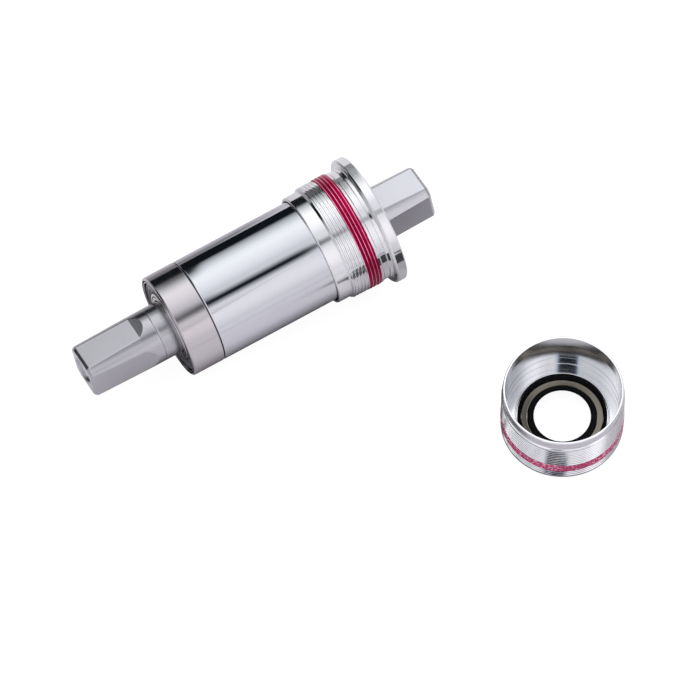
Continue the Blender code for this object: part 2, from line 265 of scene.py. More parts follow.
# ---------------------------------------------------------------------------
# Node helpers
# ---------------------------------------------------------------------------
class Nodes:
    """A small wrapper that keeps node trees readable."""

    def __init__(self, tree):
        self.t = tree
        tree.nodes.clear()

    def add(self, kind, **props):
        n = self.t.nodes.new(kind)
        inputs = props.pop("inputs", {})
        for k, v in props.items():
            setattr(n, k, v)
        for k, v in inputs.items():
            self.set(n, k, v)
        return n

    def set(self, node, key, value):
        sock = node.inputs[key]
        if isinstance(value, bpy.types.NodeSocket):
            self.t.links.new(value, sock)
        elif isinstance(value, bpy.types.Node):
            self.t.links.new(value.outputs[0], sock)
        else:
            sock.default_value = value

    def math(self, op, a, b=None, c=None, clamp=False):
        n = self.add("ShaderNodeMath", operation=op, use_clamp=clamp)
        for i, v in enumerate((a, b, c)):
            if v is not None:
                self.set(n, i, v)
        return n.outputs[0]

    def ramp(self, fac, stops, interp="LINEAR"):
        n = self.add("ShaderNodeValToRGB")
        n.color_ramp.interpolation = interp
        e = n.color_ramp.elements
        while len(e) < len(stops):
            e.new(0.5)
        for el, (pos, col) in zip(e, sorted(stops)):
            el.position = pos
        for el, (pos, col) in zip(e, sorted(stops)):
            if isinstance(col, (int, float)):
                col = (col, col, col)
            el.color = (*col, 1.0)
        self.set(n, "Fac", fac)
        return n.outputs["Color"]

    def curve_of(self, fac, stops):
        """A ramp of grey values that may go above 1."""
        top = max(v for _, v in stops)
        return self.math("MULTIPLY",
                         self.ramp(fac, [(p, v / top) for p, v in stops]), top)

    def mix(self, fac, a, b, blend="MIX"):
        n = self.add("ShaderNodeMix", data_type="RGBA", blend_type=blend)
        self.set(n, 0, fac)
        self.set(n, 6, a if not isinstance(a, tuple) else (*a[:3], 1.0))
        self.set(n, 7, b if not isinstance(b, tuple) else (*b[:3], 1.0))
        return n.outputs[2]

    def noise(self, vec=None, w=None, scale=5.0, detail=2.0, rough=0.5,
              dims="3D"):
        n = self.add("ShaderNodeTexNoise", noise_dimensions=dims)
        n.inputs["Scale"].default_value = scale
        n.inputs["Detail"].default_value = detail
        n.inputs["Roughness"].default_value = rough
        if vec is not None:
            self.set(n, "Vector", vec)
        if w is not None:
            self.set(n, "W", w)
        return n.outputs[0]

    def span(self, value, lo, hi, out_lo=0.0, out_hi=1.0):
        n = self.add("ShaderNodeMapRange", clamp=True)
        for i, v in enumerate((value, lo, hi, out_lo, out_hi)):
            self.set(n, i, v)
        return n.outputs[0]


def metal(name, base, rough, lathe_axis="X", marks=0.35, mark_scale=5200.0,
          mark_depth=0.0000022, aniso=0.0, spread=0.05, stain=0.06,
          edge=0.10, recess_shade=0.0, mark_rough=0.08, turned=0.0):
    """Turned or ground metal.

    Fine marks run round the turning axis, the roughness varies in soft
    patches, edges are painted brighter (partly rubbed metal, partly a painted
    highlight) and recesses can be painted darker, as shade.
    """
    m = bpy.data.materials.new(name)
    m.use_nodes = True
    n = Nodes(m.node_tree)
    out = n.add("ShaderNodeOutputMaterial")
    bsdf = n.add("ShaderNodeBsdfPrincipled")
    n.set(out, "Surface", bsdf.outputs[0])
    tc = n.add("ShaderNodeTexCoord")
    sep = n.add("ShaderNodeSeparateXYZ")
    n.set(sep, 0, tc.outputs["Object"])
    x, y, z = sep.outputs
    if lathe_axis == "Z":
        along, p, q = z, x, y
    else:
        along, p, q = x, y, z
    radius = n.math("SQRT", n.math("ADD", n.math("MULTIPLY", p, p),
                                   n.math("MULTIPLY", q, q)))
    w = n.math("ADD", n.math("MULTIPLY", along, 1.0), radius)
    # slightly wavy, so that no mark is perfectly even round the part
    wav = n.noise(vec=tc.outputs["Object"], scale=160.0, detail=1.0)
    w2 = n.math("ADD", w, n.math("MULTIPLY", wav, 0.00006))
    fine = n.noise(w=w2, scale=mark_scale, detail=3.0, rough=0.6, dims="1D")
    coarse = n.noise(w=w2, scale=mark_scale / 7.0, detail=2.0, dims="1D")
    both = n.math("ADD", n.math("MULTIPLY", fine, 0.65),
                  n.math("MULTIPLY", coarse, 0.35))
    patches = n.noise(vec=tc.outputs["Object"], scale=95.0, detail=4.0)
    tiny = n.noise(vec=tc.outputs["Object"], scale=900.0, detail=2.0)
    value = n.math("ADD", 1.0 - stain / 2 - marks * 0.06,
                   n.math("ADD", n.math("MULTIPLY", patches, stain),
                          n.math("MULTIPLY", both, marks * 0.12)))
    colour = n.mix(1.0, (*base, 1.0), value, "MULTIPLY")
    # edges (high pointiness) are painted up to 1.35 times brighter: partly rubbed metal, partly a
    # painted highlight along them
    geo = n.add("ShaderNodeNewGeometry")
    rubbed_edge_and_highlight = n.span(geo.outputs["Pointiness"], 0.52, 0.60)
    colour = n.mix(n.math("MULTIPLY", rubbed_edge_and_highlight, edge), colour,
                   tuple(min(1.0, c * 1.35) for c in base))
    # painted shade: recesses are darkened towards near black, driven by ambient occlusion
    if recess_shade:
        ao = n.add("ShaderNodeAmbientOcclusion", samples=8)
        ao.inputs["Distance"].default_value = 0.0007
        recess_shade_mix = n.span(ao.outputs["AO"], 0.15, 0.75, recess_shade, 0.0)
        colour = n.mix(recess_shade_mix, colour, (0.05, 0.048, 0.05))
    n.set(bsdf, "Base Color", colour)
    n.set(bsdf, "Metallic", 1.0)
    rr = n.math("ADD", n.math("MULTIPLY", n.math("SUBTRACT", patches, 0.5),
                              spread * 2.0),
                n.math("ADD", n.math("MULTIPLY",
                                     n.math("SUBTRACT", fine, 0.5),
                                     mark_rough), rough))
    rr = n.math("MAXIMUM", rr, 0.02)
    n.set(bsdf, "Roughness", rr)
    if aniso:
        n.set(bsdf, "Anisotropic", aniso)
        n.set(bsdf, "Anisotropic Rotation", 0.25)
        tan = n.add("ShaderNodeTangent", direction_type="RADIAL",
                    axis=lathe_axis)
        n.set(bsdf, "Tangent", tan.outputs[0])
    height = n.math("ADD", both, n.math("MULTIPLY", tiny, 0.25))
    bump = n.add("ShaderNodeBump")
    bump.inputs["Strength"].default_value = marks
    bump.inputs["Distance"].default_value = mark_depth
    n.set(bump, "Height", height)
    if turned:
        # the lathe tool's feed lines, a few to the millimetre
        feed = n.noise(w=w2, scale=1900.0, detail=1.0, rough=0.4, dims="1D")
        lines = n.add("ShaderNodeBump")
        lines.inputs["Strength"].default_value = 1.0
        lines.inputs["Distance"].default_value = turned * 0.000006
        n.set(lines, "Height", feed)
        n.set(bump, "Normal", lines.outputs[0])
    n.set(bsdf, "Normal", bump.outputs[0])
    return m


def coating(name, base, rough, coat=0.0, grain=700.0, bump=0.00001,
            variation=0.25, flecks=0.0, metallic=0.0, spec=0.5,
            fleck_scale=1000.0, fleck_glint_colour=(0.95, 0.62, 0.74),
            crest=None, crest_highlight_colour=(0.98, 0.60, 0.72), recess_shade=0.0):
    """Rubber, nylon or thread-lock: a grained non-metal finish.

    crest = (start, turn, hand, width) follows a thread's helix and paints a
    narrow bright line along the middle of its crests: partly the coating
    scraped off there, partly a painted highlight.
    """
    m = bpy.data.materials.new(name)
    m.use_nodes = True
    n = Nodes(m.node_tree)
    out = n.add("ShaderNodeOutputMaterial")
    bsdf = n.add("ShaderNodeBsdfPrincipled")
    n.set(out, "Surface", bsdf.outputs[0])
    tc = n.add("ShaderNodeTexCoord")
    obj = tc.outputs["Object"]
    patches = n.noise(vec=obj, scale=120.0, detail=3.0)
    grains = n.noise(vec=obj, scale=grain, detail=3.0, rough=0.6)
    k = n.math("ADD", 1.0 - variation / 2, n.math("MULTIPLY", patches,
                                                  variation))
    colour = n.mix(1.0, (*base, 1.0), k, "MULTIPLY")
    bare_and_glint = None
    if flecks:
        # small bright spots, thicker in some stretches: partly uncoated metal showing through,
        # partly painted glints
        dot = n.noise(vec=obj, scale=fleck_scale, detail=1.0, rough=0.4)
        gate = n.noise(vec=obj, scale=fleck_scale * 0.05, detail=1.0)
        dot = n.math("ADD", dot, n.math("MULTIPLY", n.math(
            "SUBTRACT", gate, 0.5), 0.35))
        bare_and_glint = n.math("MULTIPLY", n.span(dot, 0.545, 0.60), flecks)
        colour = n.mix(bare_and_glint, colour, fleck_glint_colour)
    # painted shade: recesses are darkened towards black, driven by ambient occlusion
    if recess_shade:
        ao = n.add("ShaderNodeAmbientOcclusion", samples=8)
        ao.inputs["Distance"].default_value = 0.0008
        recess_shade_mix = n.span(ao.outputs["AO"], 0.2, 0.8, recess_shade, 0.0)
        colour = n.mix(recess_shade_mix, colour, (0.004, 0.004, 0.004))
    if crest:
        start, turn, hand, width = crest
        sep = n.add("ShaderNodeSeparateXYZ")
        n.set(sep, 0, obj)
        theta = n.math("ARCTAN2", sep.outputs[2], sep.outputs[1])
        turned = n.math("ADD", n.math("MULTIPLY", theta, -hand / TAU),
                        start / PITCH - hand * turn / TAU)
        u = n.math("ADD", n.math("MULTIPLY", sep.outputs[0], 1000.0 / PITCH),
                   turned)
        off = n.math("ABSOLUTE", n.math("SUBTRACT", n.math(
            "FRACT", n.math("ADD", u, 100.0)), 0.5))
        # painted highlight: a narrow bright line along each thread crest, partly the coating
        # scraped off there
        crest_highlight = n.span(off, width * 0.55, width, 1.0, 0.0)
        ragged = n.span(n.noise(vec=obj, scale=420.0, detail=3.0),
                        0.28, 0.52, 0.45, 1.0)
        crest_highlight = n.math("MULTIPLY", crest_highlight, ragged)
        colour = n.mix(crest_highlight, colour, crest_highlight_colour)
        bare_and_glint = crest_highlight if bare_and_glint is None else n.math("MAXIMUM", bare_and_glint, crest_highlight)
    n.set(bsdf, "Base Color", colour)
    if bare_and_glint is not None:
        n.set(bsdf, "Metallic", n.math("MAXIMUM", n.math(
            "MULTIPLY", bare_and_glint, 0.8), metallic))
    else:
        n.set(bsdf, "Metallic", metallic)
    n.set(bsdf, "Specular IOR Level", spec)
    n.set(bsdf, "Roughness",
          n.math("ADD", rough - 0.06, n.math("MULTIPLY", grains, 0.12)))
    if coat:
        n.set(bsdf, "Coat Weight", coat)
        n.set(bsdf, "Coat Roughness", 0.10)
    b = n.add("ShaderNodeBump")
    b.inputs["Strength"].default_value = 0.6
    b.inputs["Distance"].default_value = bump
    n.set(b, "Height", grains)
    n.set(bsdf, "Normal", b.outputs[0])
    return m


def wear(ob, mat, body, slot, *nodes):
    ob.data.materials.clear()
    ob.data.materials.append(mat)
    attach(ob, body)
    if nodes:
        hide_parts(*nodes)
    return ob


# ---------------------------------------------------------------------------
# Finishes
# ---------------------------------------------------------------------------
M_SLEEVE = metal("polished_sleeve", (0.655, 0.665, 0.70), 0.055, aniso=0.0,
                 marks=0.25, spread=0.02, stain=0.03, mark_rough=0.03)
M_RACE = metal("bearing_steel", (0.575, 0.548, 0.562), 0.14, aniso=0.4,
               marks=0.6, spread=0.04, mark_rough=0.08, recess_shade=0.95)
M_BALL = metal("ball_steel", (0.80, 0.80, 0.81), 0.05, marks=0.05,
               spread=0.02, mark_rough=0.01)
M_CUP = metal("plated_cup", (0.80, 0.803, 0.81), 0.095, aniso=0.3, marks=0.7,
              spread=0.04, mark_rough=0.08, recess_shade=0.12, turned=0.35)
M_CUPZ = metal("plated_cup_upright", (0.78, 0.785, 0.80), 0.105,
               lathe_axis="Z", aniso=0.9, marks=0.10, spread=0.02,
               mark_rough=0.02)
M_SPINDLE = metal("spindle_steel", (0.485, 0.48, 0.505), 0.235, aniso=0.0,
                  marks=0.5, mark_scale=3800.0, spread=0.05, stain=0.05,
                  edge=0.35, mark_rough=0.08)
M_CASE = metal("seal_case", (0.185, 0.165, 0.125), 0.17, aniso=0.6, marks=0.8,
               spread=0.08, stain=0.5)
M_CASEZ = metal("seal_case_upright", (0.165, 0.150, 0.122), 0.17,
                lathe_axis="Z", aniso=0.6, marks=0.8, spread=0.08, stain=0.6)
M_RED = coating("thread_lock", (0.37, 0.0, 0.048), 0.32, spec=0.05,
                grain=1600.0, bump=0.000006, variation=0.35, metallic=0.55,
                crest=(12.95, 2.2, -1.0, 0.095),
                crest_highlight_colour=(0.97, 0.40, 0.60))
M_PINK = coating("thread_lock_loose_cup", (0.56, 0.028, 0.15), 0.24,
                 coat=0.3, grain=2000.0, bump=0.00003, variation=0.6,
                 flecks=0.68, fleck_scale=1900.0, metallic=0.35,
                 fleck_glint_colour=(0.98, 0.66, 0.79))
M_RUBBER = coating("seal_rubber", (0.003, 0.0035, 0.004), 0.42,
                   grain=1500.0, bump=0.000008, variation=0.4, spec=0.10)
M_SEAL = coating("bearing_seal", (0.15, 0.15, 0.16), 0.30, grain=1500.0,
                 bump=0.000006, variation=0.4, recess_shade=1.0)
M_CAGE = coating("cage_nylon", (0.50, 0.42, 0.27), 0.5, grain=900.0,
                 bump=0.000008, variation=0.2)


# ---------------------------------------------------------------------------
# Spindle
# ---------------------------------------------------------------------------
TIP_L, TIP_R = 91.1, -19.4
ROLL = math.radians(12.0)


def spindle_section(h, rc, c=0.16):
    """One loop: a circle of radius rc cut by four flats at distance h."""
    h = min(h, rc * math.cos(math.radians(1.5)))
    phi = math.acos(h / rc)
    w = rc * math.sin(phi)
    c = min(c, 0.35 * w)
    dphi = c / rc
    pts = []
    for quarter in range(4):
        loc = []
        for t in (-1.0, -0.6, -0.2, 0.2, 0.6, 1.0):
            loc.append((h, t * (w - 2.2 * c)))
        corner = np.array((h, w))
        a = np.array((h, w - c))
        g = phi + dphi
        b = np.array((rc * math.cos(g), rc * math.sin(g)))
        for t in (0.0, 0.33, 0.67, 1.0):        # rounds the edge
            loc.append(tuple((1 - t) ** 2 * a + 2 * t * (1 - t) * corner
                             + t * t * b))
        g0, g1 = phi + 2.2 * dphi, math.pi / 2 - phi - 2.2 * dphi
        for k in range(15):
            g = g0 + (g1 - g0) * k / 14
            loc.append((rc * math.cos(g), rc * math.sin(g)))
        # the next flat's edge, mirrored about the corner's middle
        for t in (1.0, 0.67, 0.33, 0.0):
            q = ((1 - t) ** 2 * a + 2 * t * (1 - t) * corner + t * t * b)
            loc.append((q[1], q[0]))
        ca, sa = math.cos(quarter * math.pi / 2), math.sin(quarter * math.pi / 2)
        for u, v in loc:
            pts.append((u * ca - v * sa, u * sa + v * ca))
    return np.array(pts)


def taper_h(s, tip, sign):
    """Half across the flats at s, or None in the round part."""
    d = (tip - s) * sign
    if d <= 17.6:
        return 6.35 + d * math.tan(math.radians(2.0))
    h0 = 6.35 + 17.6 * math.tan(math.radians(2.0))
    x = d - 17.6
    return h0 + x * math.tan(math.radians(17.5)) + 0.028 * x * x


def spindle():
    loops = []

    def add(s, h, rc, bevel=0.16):
        loops.append((s, spindle_section(h, rc, bevel)))

    for tip, sign in ((TIP_L, 1.0), (TIP_R, -1.0)):
        part = []
        # the end's bevel follows the square outline, with rubbed edges
        for d, off in ((0.0, 0.72), (0.02, 0.66), (0.07, 0.60), (0.16, 0.52),
                       (0.40, 0.31), (0.64, 0.10), (0.71, 0.05), (0.79, 0.015),
                       (0.90, 0.0), (1.05, 0.0)):
            part.append((d, taper_h(tip - sign * d, tip, sign) - off,
                         7.7 - off * 0.95))
        d = 1.7
        while d < 17.55:
            rc = 7.7 + 0.3 * min(1.0, d / 17.6)
            part.append((d, taper_h(tip - sign * d, tip, sign), rc))
            d += 1.1
        for d in (17.52, 17.58, 17.62, 17.68, 17.85, 18.1, 18.4, 18.7, 19.0,
                  19.3, 19.6, 19.85, 20.05, 20.2, 20.3, 20.38, 20.46, 20.6):
            part.append((d, taper_h(tip - sign * d, tip, sign), 8.0))
        part = [(tip - sign * d, h, rc) for d, h, rc in part]
        if sign > 0:
            rounds = [(69.2, 8.0), (68.5, 8.0), (68.43, 7.98), (68.36, 7.92),
                      (68.29, 7.98), (68.22, 8.0), (67.6, 8.0), (65.0, 8.0),
                      (64.0, 8.0), (60.0, 8.0), (55.2, 8.0), (54.9, 8.0),
                      (54.86, 8.02), (54.84, 8.6), (54.78, 8.72),
                      (54.62, 8.79), (54.4, 8.8), (50.0, 8.8)]
        else:
            rounds = [(2.6, 8.0), (5.0, 8.0), (10.0, 8.0), (14.2, 8.0),
                      (14.5, 8.0), (14.54, 8.02), (14.56, 8.6),
                      (14.62, 8.72), (14.78, 8.79), (15.0, 8.8),
                      (20.0, 8.8)]
        part += [(s, 20.0, rc) for s, rc in rounds]
        if sign < 0:
            part = part[::-1]
        for s, h, rc in part:
            add(s, h, rc)
    n = len(loops[0][1])
    # two bolt holes with a real helical thread, opening in the end faces
    angles = np.arctan2(loops[0][1][:, 1], loops[0][1][:, 0])

    def hole(tip, sign):
        rings = []
        ds = [0.0, 0.03, 0.12, 0.5, 0.95, 1.1]
        rs = [4.72, 4.66, 4.56, 4.18, 3.84, 3.78]
        for d, r in zip(ds, rs):
            rings.append((tip - sign * d, np.full(n, r)))
        d = 1.18
        while d < 19.0:
            ph = (d / 1.0 - sign * angles / TAU) % 1.0
            tri = np.abs(2 * ph - 1)
            env = min(1.0, (d - 1.1) / 0.8) * min(1.0, (19.2 - d) / 1.5)
            rings.append((tip - sign * d, 3.72 + 0.30 * tri * env))
            d += 0.125
        for d, r in ((19.3, 3.7), (20.6, 3.7), (20.9, 3.55), (21.4, 2.4),
                     (22.0, 0.9), (22.15, 0.25)):
            rings.append((tip - sign * d, np.full(n, r)))
        return rings

    verts, faces = [], []

    def put(s, yz):
        start = len(verts)
        for y, z in yz:
            verts.append((-s, y, z))
        return start

    left = [put(s, np.stack([r * np.cos(angles), r * np.sin(angles)], -1))
            for s, r in hole(TIP_L, 1.0)][::-1]
    body = [put(s, yz) for s, yz in loops]
    right = [put(s, np.stack([r * np.cos(angles), r * np.sin(angles)], -1))
             for s, r in hole(TIP_R, -1.0)]
    chain = left + body + right
    for a, b in zip(chain, chain[1:]):
        for k in range(n):
            k2 = (k + 1) % n
            faces.append((a + k, a + k2, b + k2, b + k))
    for first, flip in ((chain[0], False), (chain[-1], True)):
        centre = len(verts)
        base = np.array(verts[first:first + n])
        verts.append(tuple(base.mean(0)))
        for k in range(n):
            k2 = (k + 1) % n
            f = (centre, first + k2, first + k)
            faces.append(f[::-1] if flip else f)
    if volume(verts, faces) < 0:
        faces = [f[::-1] for f in faces]
    # the first flat faces the drive side's upper front: roll about the axis
    ob = finish_mesh("spindle_steel_body", verts, faces,
                     CART @ Matrix.Rotation(-ROLL, 4, "X"), sharp=40.0)
    return wear(ob, M_SPINDLE, "spindle", "spindle_steel", "spindle")


spindle()


# ---------------------------------------------------------------------------
# Bearings
# ---------------------------------------------------------------------------
BALL_CIRCLE, BALL_R, GROOVE_R = 11.8, 1.984, 2.235


def groove(side, shoulder_r, steps=10):
    shoulder = abs(shoulder_r - BALL_CIRCLE)
    half = math.sqrt(GROOVE_R ** 2 - shoulder ** 2)
    return [(half * math.cos(math.pi * k / steps),
             BALL_CIRCLE + side * math.sqrt(
                 max(GROOVE_R ** 2
                     - (half * math.cos(math.pi * k / steps)) ** 2, 0.0)), 0.0)
            for k in range(steps + 1)]


def bearing(side, plane, sign, ball_body):
    def at(points):
        return [(plane + sign * p[0], p[1], p[2]) for p in points]

    def cad(part):
        return "%s_bearing_%s" % (side, part)

    # outer race: ring, chamfered outer face with a stepped seal seat
    outer = ([(-7.2, 14.4, 0.15), (-4.8, 14.4, 0.0), (-4.8, 15.5, 0.14),
              (4.42, 15.5, 0.10), (4.8, 15.12, 0.06), (4.8, 14.75, 0.05),
              (3.9, 14.7, 0.0), (3.9, 14.35, 0.0), (4.74, 14.28, 0.05),
              (4.74, 14.0, 0.05), (3.4, 13.98, 0.0), (3.4, 13.15, 0.1)]
             + groove(1, 13.15)
             + [(-3.4, 13.15, 0.1), (-3.4, 13.9, 0.0), (-4.6, 13.9, 0.0),
                (-4.6, 13.3, 0.0), (-7.2, 13.3, 0.12)])
    ob = lathe(cad("outer_race_ring"), outline(at(outer), tight=0.05),
               CART, even(288))
    wear(ob, M_RACE, "cartridge", "bearing_steel", cad("outer_race"))

    inner = ([(-4.3, 8.3, 0.2), (4.5, 8.3, 0.28), (4.5, 9.25, 0.05),
              (4.1, 9.3, 0.0), (4.1, 9.55, 0.0), (4.5, 9.6, 0.05),
              (4.5, 10.45, 0.2)]
             + groove(-1, 10.45) + [(-4.3, 10.45, 0.2)])
    ob = lathe(cad("inner_race_ring"), outline(at(inner), tight=0.05),
               CART, even(192))
    wear(ob, M_RACE, "spindle", "bearing_steel", cad("inner_race"))

    # seals: a dished shield with a raised bead and a lip on the inner race
    for label, k in (("outboard", 1.0), ("inboard", -1.0)):
        prof = [(3.62, 13.6, 0.1), (4.28, 13.6, 0.12), (4.28, 13.1, 0.08),
                (4.05, 12.95, 0.06), (4.05, 12.3, 0.06), (4.27, 12.15, 0.06),
                (4.27, 11.75, 0.06), (3.95, 11.6, 0.05), (3.95, 11.15, 0.05),
                (4.24, 11.05, 0.05), (4.24, 10.8, 0.05), (3.64, 10.78, 0.05),
                (3.64, 11.3, 0.0)]
        prof = [(a * k, r, f) for a, r, f in prof]
        ob = lathe(cad(label + "_seal_shield"), outline(at(prof), tight=0.04),
                   CART, even(224))
        wear(ob, M_SEAL, "cartridge", "bearing_seal", cad(label + "_seal"))

    # crown cage: a ring with nine rounded pockets round the balls
    count = 9
    theta = even(count * 32)
    cage = [(-1.38, 11.05, 0.12), (-1.38, 12.55, 0.12), (3.03, 12.55, 0.25),
            (3.03, 11.05, 0.25)]
    prof = refine(outline(cage, tight=0.1), -9, 9, 0.0, 0.22)
    a = np.repeat(prof[:, 0][:, None], len(theta), 1)
    r = np.repeat(prof[:, 1][:, None], len(theta), 1)
    t = np.repeat(theta[None, :], len(prof), 0)
    period = TAU / count
    d = (t + period / 2) % period - period / 2
    arc = d * BALL_CIRCLE
    # the pocket opens towards -a, so points in front of it move back
    reach = np.sqrt(np.maximum(2.28 ** 2 - arc ** 2, 0.0))
    wall = np.where(np.abs(arc) < 2.28, reach, -1.38)
    low = -1.38
    a = np.where(np.abs(arc) < 2.28,
                 wall + (a - low) * (3.03 - wall) / (3.03 - low), a)
    # pocket angles match the balls, the first of which is straight up
    up = t + math.pi / 2
    verts = np.stack([-(plane + sign * a), r * np.cos(up), r * np.sin(up)],
                     -1).reshape(-1, 3)
    faces = grid_faces(len(prof), len(theta))
    area = float(np.sum(prof[:, 0] * np.roll(prof[:, 1], -1)
                        - np.roll(prof[:, 0], -1) * prof[:, 1]))
    if (area * sign > 0):
        faces = faces[:, ::-1]
    ob = finish_mesh(cad("cage_crown"), verts, faces, CART, 40.0)
    wear(ob, M_CAGE, ball_body, "cage_nylon", cad("cage"))

    ico = ball_mesh()
    for i in range(count):
        name = cad("ball_%d" % (i + 1))
        lo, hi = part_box(name)
        ob = bpy.data.objects.new(name + "_ground", ico)
        bpy.context.scene.collection.objects.link(ob)
        ob.matrix_world = Matrix.Translation((lo + hi) / 2)
        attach(ob, ball_body)
        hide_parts(name)


_ball = {}


def ball_mesh():
    """A ground ball with the two small polishing poles real balls keep."""
    if "me" in _ball:
        return _ball["me"]
    import bmesh
    bm = bmesh.new()
    bmesh.ops.create_icosphere(bm, subdivisions=4, radius=BALL_R * MM)
    for v in bm.verts:
        h = abs(v.co.z) / (BALL_R * MM)
        if h > 0.985:
            v.co *= 1.0 - 0.02 * (h - 0.985)
    me = bpy.data.meshes.new("bearing_ball_ground")
    bm.to_mesh(me)
    bm.free()
    me.shade_smooth()
    me.materials.append(M_BALL)
    _ball["me"] = me
    return me


bearing("left", 59.0, 1.0, "left_ball_set")
bearing("right", 10.1, -1.0, "right_ball_set")


# ---------------------------------------------------------------------------
# Sleeve
# ---------------------------------------------------------------------------
sleeve = [(15.2, 15.5, 0.08), (53.9, 15.5, 0.34), (53.9, 14.7, 0.08),
          (51.5, 14.7, 0.0), (51.5, 13.4, 0.0), (17.6, 13.4, 0.0),
          (17.6, 14.7, 0.0), (15.2, 14.7, 0.08)]
ob = lathe("cartridge_sleeve_tube",
           refine(outline(sleeve, tight=0.08), 0, 90, 15.0, 2.0),
           CART, even(320))
wear(ob, M_SLEEVE, "cartridge", "polished_sleeve", "cartridge_sleeve")


# ---------------------------------------------------------------------------
# Drive cup: lip, left-hand thread, neck, collar, flange and tool socket
# ---------------------------------------------------------------------------
D_START, D_TURNS = 12.95, 8.6


def drive_thread(a, theta):
    return thread_drop(a, theta + 2.2, D_START, D_TURNS, -1.0,
                       fade_in=0.18, fade_out=0.5)


def drive_shape(a, r, t):
    on = (a > 2.6) & (a < 13.35) & (r > 16.9)
    drop = drive_thread(a, t)
    r2 = np.where(on, np.minimum(r, THREAD_R - drop), r)
    # tool notches in the outboard socket
    wall = (a < 2.0) & (r < 15.0) & (r > 13.5)
    n = in_notch(t)
    r2 = np.where(wall, r2 + 1.4 * n, r2)
    return a, r2


drive = [(5.0, 15.8, 0.0), (17.5, 15.8, 0.12), (17.5, 16.65, 0.30),
         (13.45, 16.65, 0.10), (12.75, 17.4, 0.12),
         (3.35, 17.4, 0.10), (3.0, 17.1, 0.10), (1.45, 17.1, 0.05),
         (1.35, 16.95, 0.03), (1.22, 16.95, 0.03), (1.12, 17.35, 0.08),
         (0.22, 17.4, 0.16), (0.0, 17.75, 0.10), (0.0, 19.05, 0.14),
         (-0.45, 19.5, 0.14), (-2.8, 19.5, 0.14), (-3.2, 19.1, 0.14),
         (-3.2, 14.45, 0.12), (-2.85, 14.0, 0.10), (1.8, 14.0, 0.0),
         (1.82, 13.6, 0.0), (2.3, 13.4, 0.0), (2.3, 9.4, 0.15),
         (3.7, 9.4, 0.15), (3.7, 13.0, 0.0), (5.0, 13.0, 0.15)]
prof = refine(outline(drive, tight=0.07), 2.8, 13.4, 16.5, PITCH / 22)
ob = lathe("drive_cup_turned", prof, CART, notch_angles(), drive_shape,
           sharp=35.0)
wear(ob, M_CUP, "cartridge", "plated_cup", "drive_cup")


def band_on_thread(name, lo, hi, thread, matrix, theta, mat, body, slot, node,
                   upright, seed, rag_lo, rag_hi, thick, crest):
    """The coating: a ragged-edged shell of little thickness that follows the thread."""
    steps = int((hi - lo + 1.4) / (PITCH / 14))
    a0 = np.linspace(lo - 0.7, hi + 0.7, steps)
    outer = np.stack([a0, np.full(steps, 1.0)], -1)
    inner = np.stack([a0[::-1], np.full(steps, 0.0)], -1)
    prof = np.concatenate([outer, inner])
    a = np.repeat(prof[:, 0][:, None], len(theta), 1)
    side = np.repeat(prof[:, 1][:, None], len(theta), 1)
    t = np.repeat(theta[None, :], len(prof), 0)
    metal_r = np.minimum(crest, THREAD_R) - thread(a, t)
    u = t / TAU * 64.0
    e_lo = lo + rag_lo * (hash_noise(u, np.full_like(u, 3.0), seed) - 0.5) \
        + rag_lo * 0.6 * (hash_noise(u * 4, np.full_like(u, 9.0), seed + 1) - 0.5)
    e_hi = hi + rag_hi * (hash_noise(u, np.full_like(u, 5.0), seed + 2) - 0.5) \
        + rag_hi * 0.6 * (hash_noise(u * 4, np.full_like(u, 7.0), seed + 3) - 0.5)
    edge = np.minimum(a - e_lo, e_hi - a)
    k = np.clip(edge / 0.16, -1.0, 1.0)
    lump = hash_noise(u * 2, a * 2.5, seed + 4) - 0.5
    cover = np.where(k > 0, np.sqrt(np.maximum(k, 0.0)) * (thick
                                                           + 0.05 * lump),
                     k * 0.08)
    r = np.where(side > 0.5, metal_r + cover, metal_r - 0.14)
    if upright:
        verts = np.stack([r * np.cos(t), r * np.sin(t), a], -1)
    else:
        verts = np.stack([-a, r * np.cos(t), r * np.sin(t)], -1)
    faces = grid_faces(len(prof), len(theta))
    # this outline runs up outside and back inside
    if not upright:
        faces = faces[:, ::-1]
    ob = finish_mesh(name, verts.reshape(-1, 3), faces, matrix, 0)
    return wear(ob, mat, body, slot, node)


band_on_thread("drive_cup_thread_lock_coat", 4.0, 8.0, drive_thread, CART,
               even(360), M_RED, "cartridge", "thread_lock",
               "drive_cup_thread_lock_band", False, 11, 0.12, 0.10, 0.10, 17.4)


def seal_set(prefix, matrix, body, base, rub_top, upright, mats):
    """Rubber ring and metal case of a cup's seal."""
    rubber, case = mats
    drop = rub_top - base
    rub = [(base, 11.62, 0.05), (base, 12.7, 0.05), (base + drop, 12.72, 0.08),
           (base + drop * 0.92, 12.5, 0.1), (base + drop * 0.45, 11.9, 0.08),
           (base + 0.25, 11.62, 0.05)]
    ob = lathe(prefix + "_seal_outer_rubber", outline(rub, tight=0.05),
               matrix, even(224), upright=upright)
    wear(ob, rubber, body, "seal_rubber", prefix + "_seal_rubber")
    ring = [(base, 9.95, 0.05), (base, 11.57, 0.05), (base + 0.46, 11.57, 0.08),
            (base + 0.50, 11.38, 0.08), (base + 0.37, 10.75, 0.0),
            (base + 0.22, 10.16, 0.12), (base + 0.22, 9.95, 0.05)]
    ob = lathe(prefix + "_seal_metal_case", outline(ring, tight=0.05),
               matrix, even(224), upright=upright)
    wear(ob, case, body, "seal_case", prefix + "_seal_case")


